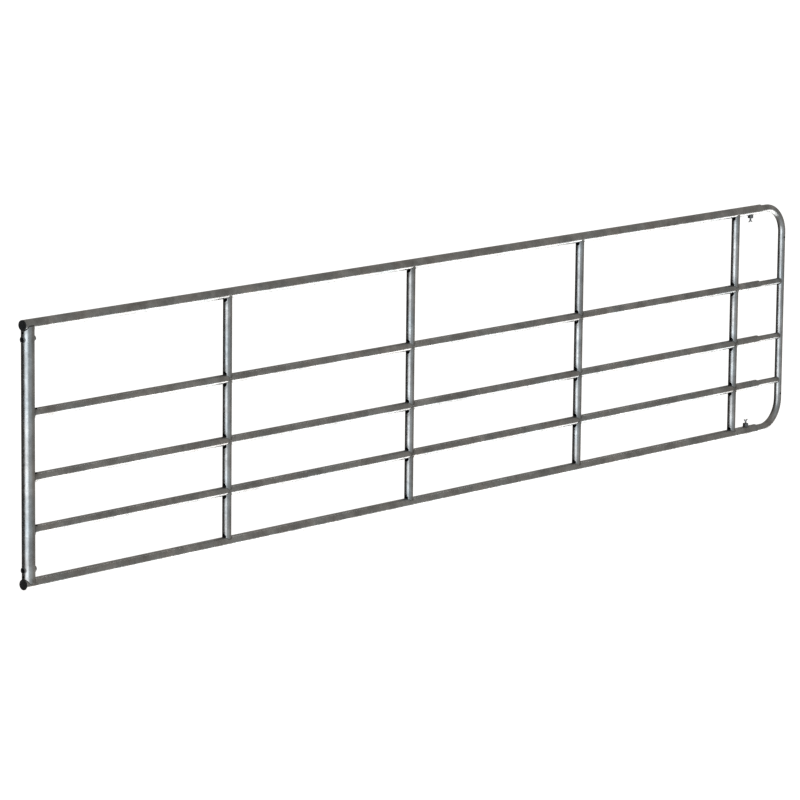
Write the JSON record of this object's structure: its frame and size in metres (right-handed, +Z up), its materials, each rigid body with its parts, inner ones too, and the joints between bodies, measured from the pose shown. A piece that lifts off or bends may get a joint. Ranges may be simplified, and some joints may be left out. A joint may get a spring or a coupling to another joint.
{
  "type": "extendable field gate",
  "caption": "Galvanised tubular livestock gate with a sliding bow at the latch end, clamped by wing screws and hung by bolts through its stile.",
  "frame": {"origin": "middle of the lower hinge bush, on the axis of the hinge stile", "axes": "+X from the hinge stile to the latch end, +Y across the gate, +Z up"},
  "size_m": [5.4437, 0.0602, 1.1983],
  "materials": {
    "galvanised_tube": "hot-dip galvanised, dull spangle",
    "galvanised_fitting": "hot-dip galvanised, rough",
    "zinc_plated": "zinc plated, satin",
    "black_plastic": "moulded polyethylene, slight sheen"
  },
  "bodies": {
    "frame": {"hinge_stile": "galvanised_tube", "top_rail": "galvanised_tube", "bottom_rail": "galvanised_tube", "lower_mid_rail": "galvanised_tube", "centre_mid_rail": "galvanised_tube", "upper_mid_rail": "galvanised_tube", "stay_1_piece_1": "galvanised_tube", "stay_1_piece_2": "galvanised_tube", "stay_1_piece_3": "galvanised_tube", "stay_1_piece_4": "galvanised_tube", "stay_2_piece_1": "galvanised_tube", "stay_2_piece_2": "galvanised_tube", "stay_2_piece_3": "galvanised_tube", "stay_2_piece_4": "galvanised_tube", "stay_3_piece_1": "galvanised_tube", "stay_3_piece_2": "galvanised_tube", "stay_3_piece_3": "galvanised_tube", "stay_3_piece_4": "galvanised_tube", "stay_4_piece_1": "galvanised_tube", "stay_4_piece_2": "galvanised_tube", "stay_4_piece_3": "galvanised_tube", "stay_4_piece_4": "galvanised_tube", "upper_hinge_bush": "galvanised_tube", "lower_hinge_bush": "galvanised_tube", "top_rail_plug": "black_plastic", "bottom_rail_plug": "black_plastic", "top_clamp_nut": "galvanised_fitting", "bottom_clamp_nut": "galvanised_fitting"},
    "extension": {"extension_bow": "galvanised_tube", "lower_inner_rail": "galvanised_tube", "centre_inner_rail": "galvanised_tube", "upper_inner_rail": "galvanised_tube"},
    "top_screw": {"top_clamp_screw": "zinc_plated"},
    "top_wings": {"top_clamp_wings": "zinc_plated"},
    "bottom_screw": {"bottom_clamp_screw": "zinc_plated"},
    "bottom_wings": {"bottom_clamp_wings": "zinc_plated"}
  },
  "joints": [
    {"name": "extension_slide", "type": "slide", "parent": "frame", "child": "extension", "axis": [1, 0, 0], "range_m": [-0.02, 1]},
    {"name": "top_screw_travel", "type": "slide", "parent": "frame", "child": "top_screw", "axis": [0, 0, -1], "range_m": [0, 0.006]},
    {"name": "top_wings_turn", "type": "hinge", "parent": "top_screw", "child": "top_wings", "pos_m": [5.122, 0, 1.0415], "axis": [0, 0, -1], "range_deg": [0, 1441]},
    {"name": "bottom_screw_travel", "type": "slide", "parent": "frame", "child": "bottom_screw", "axis": [0, 0, 1], "range_m": [0, 0.006]},
    {"name": "bottom_wings_turn", "type": "hinge", "parent": "bottom_screw", "child": "bottom_wings", "pos_m": [5.122, 0, -0.0185], "axis": [0, 0, 1], "range_deg": [0, 1441]}
  ],
  "couplings": [
    {"joint": "top_wings_turn", "follows": "top_screw_travel", "rad_per_m": 4188.8},
    {"joint": "bottom_wings_turn", "follows": "bottom_screw_travel", "rad_per_m": 4188.8}
  ]
}
